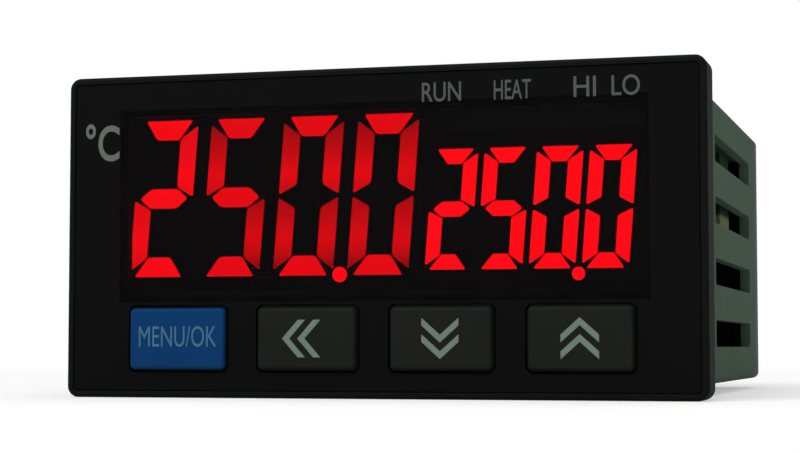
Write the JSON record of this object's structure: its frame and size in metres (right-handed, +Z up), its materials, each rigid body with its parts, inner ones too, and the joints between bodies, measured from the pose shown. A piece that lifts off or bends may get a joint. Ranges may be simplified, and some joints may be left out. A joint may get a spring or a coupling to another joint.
{
  "type": "panel temperature controller",
  "caption": "Panel-mount process controller: flanged black front with two red digit displays and press keys, on a deep slotted case with screw terminals behind.",
  "frame": {"origin": "centre of the panel seat, the plane of the bezel flange's rear face", "axes": "+X to the right as seen from the front, +Y back into the panel, +Z up"},
  "size_m": [0.096, 0.1053, 0.048],
  "materials": {
    "bezel_black": "fine satin texture",
    "panel_print": "printed satin film, with plain grey legends",
    "smoked_filter": "smoked, lightly satin filter",
    "gasket_rubber": "matt black rubber",
    "case_plastic": "dark grey-green satin moulding",
    "terminal_plastic": "black satin moulding",
    "key_blue": "blue satin, with a plain printed legend",
    "key_grey": "dark grey satin, with printed double chevrons",
    "switch_plastic": "black moulding",
    "plunger_plastic": "off-white moulding",
    "display_black": "matt black face",
    "segment_lit": "lit red epoxy",
    "segment_unlit": "dark red epoxy, unlit",
    "led_body": "clear on white",
    "guide_clear": "clear acrylic",
    "board_laminate": "green solder mask",
    "screw_steel": "zinc-plated steel",
    "clamp_metal": "nickel-plated brass",
    "chip_black": "moulded package",
    "connector_black": "black nylon",
    "ferrite": "dark sintered ferrite",
    "coil_tape": "yellow-green polyester tape",
    "relay_shell": "black relay shell",
    "can_sleeve": "black sleeve over an aluminium can",
    "film_box": "yellow-green box",
    "varistor_coat": "blue epoxy coat",
    "crystal_can": "drawn steel can"
  },
  "bodies": {
    "controller": {"front_bezel": "bezel_black", "front_panel": "panel_print", "display_window": "smoked_filter", "panel_gasket": "gasket_rubber", "rear_case": "case_plastic", "key_switch_housings": "switch_plastic", "status_leds": "led_body", "light_guides": "guide_clear", "display_board": "board_laminate", "board_screws": "screw_steel", "driver_chips": "chip_black", "board_connectors": "connector_black", "power_board": "board_laminate", "main_board": "board_laminate", "transformer_core": "ferrite", "transformer_coil": "coil_tape", "relays": "relay_shell", "power_capacitors": "can_sleeve", "film_capacitor": "film_box", "varistor": "varistor_coat", "processor": "chip_black", "signal_chips": "chip_black", "crystal": "crystal_can", "terminal_block": "terminal_plastic", "terminal_clamps": "clamp_metal", "terminal_screws": "screw_steel", "pv_display_housing": "display_black", "pv_lit_segments": "segment_lit", "pv_unlit_segments": "segment_unlit", "sv_display_housing": "display_black", "sv_lit_segments": "segment_lit", "sv_unlit_segments": "segment_unlit"},
    "key_set": {"set_key": "key_blue", "set_plunger": "plunger_plastic"},
    "key_shift": {"shift_key": "key_grey", "shift_plunger": "plunger_plastic"},
    "key_down": {"down_key": "key_grey", "down_plunger": "plunger_plastic"},
    "key_up": {"up_key": "key_grey", "up_plunger": "plunger_plastic"}
  },
  "joints": [
    {"name": "set_press", "type": "slide", "parent": "controller", "child": "key_set", "axis": [0, 1, 0], "range_m": [0, 0.0005], "stiffness_N_per_m": 400},
    {"name": "shift_press", "type": "slide", "parent": "controller", "child": "key_shift", "axis": [0, 1, 0], "range_m": [0, 0.0005], "stiffness_N_per_m": 400},
    {"name": "down_press", "type": "slide", "parent": "controller", "child": "key_down", "axis": [0, 1, 0], "range_m": [0, 0.0005], "stiffness_N_per_m": 400},
    {"name": "up_press", "type": "slide", "parent": "controller", "child": "key_up", "axis": [0, 1, 0], "range_m": [0, 0.0005], "stiffness_N_per_m": 400}
  ]
}
